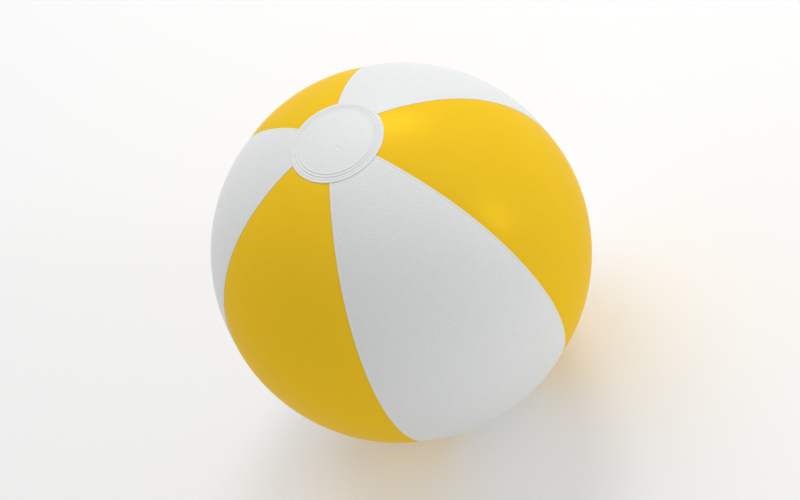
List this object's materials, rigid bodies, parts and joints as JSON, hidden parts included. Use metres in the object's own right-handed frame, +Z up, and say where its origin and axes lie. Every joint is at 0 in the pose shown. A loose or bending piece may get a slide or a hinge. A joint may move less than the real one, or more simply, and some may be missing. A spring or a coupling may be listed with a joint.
{
  "type": "inflatable beach ball",
  "caption": "Inflatable beach ball of alternating yellow and white film gores, with round caps over their tips and a push-in inflation valve with a tethered stopper.",
  "frame": {"origin": "middle of the flat patch of the bottom cap that the ball rests on", "axes": "+Z up through both end caps; -Y through the middle of the front white gore, whose yellow neighbours face +X and -X; the valve is in the white gore at the left back, between -X and +Y"},
  "size_m": [0.26, 0.2594, 0.2602],
  "materials": {
    "yellow_film": "satin",
    "white_film": "satin",
    "valve_vinyl": "satin"
  },
  "bodies": {
    "ball": {"gore_white_front": "white_film", "gore_white_right_back": "white_film", "gore_white_left_back": "white_film", "gore_yellow_right": "yellow_film", "gore_yellow_back": "yellow_film", "gore_yellow_left": "yellow_film", "cap_top": "white_film", "cap_bottom": "white_film", "valve_flange": "valve_vinyl", "valve_diaphragm": "valve_vinyl"},
    "stem": {"valve_stem": "valve_vinyl", "tether_strap": "valve_vinyl"},
    "flap": {"check_flap": "valve_vinyl"},
    "stopper": {"stopper_plug": "valve_vinyl"}
  },
  "joints": [
    {"name": "stem_slide", "type": "slide", "parent": "ball", "child": "stem", "axis": [-0.8138, 0.4698, -0.342], "range_m": [0, 0.011]},
    {"name": "stopper_hinge", "type": "hinge", "parent": "stem", "child": "stopper", "pos_m": [-0.10439, 0.06027, 0.07666], "axis": [-0.5, -0.866, 0], "range_deg": [0, 170]},
    {"name": "flap_hinge", "type": "hinge", "parent": "stem", "child": "flap", "pos_m": [-0.09439, 0.0545, 0.09438], "axis": [-0.5, -0.866, 0], "range_deg": [0, 60], "stiffness_Nm_per_rad": 0.0002, "springref_deg": -17.19}
  ]
}
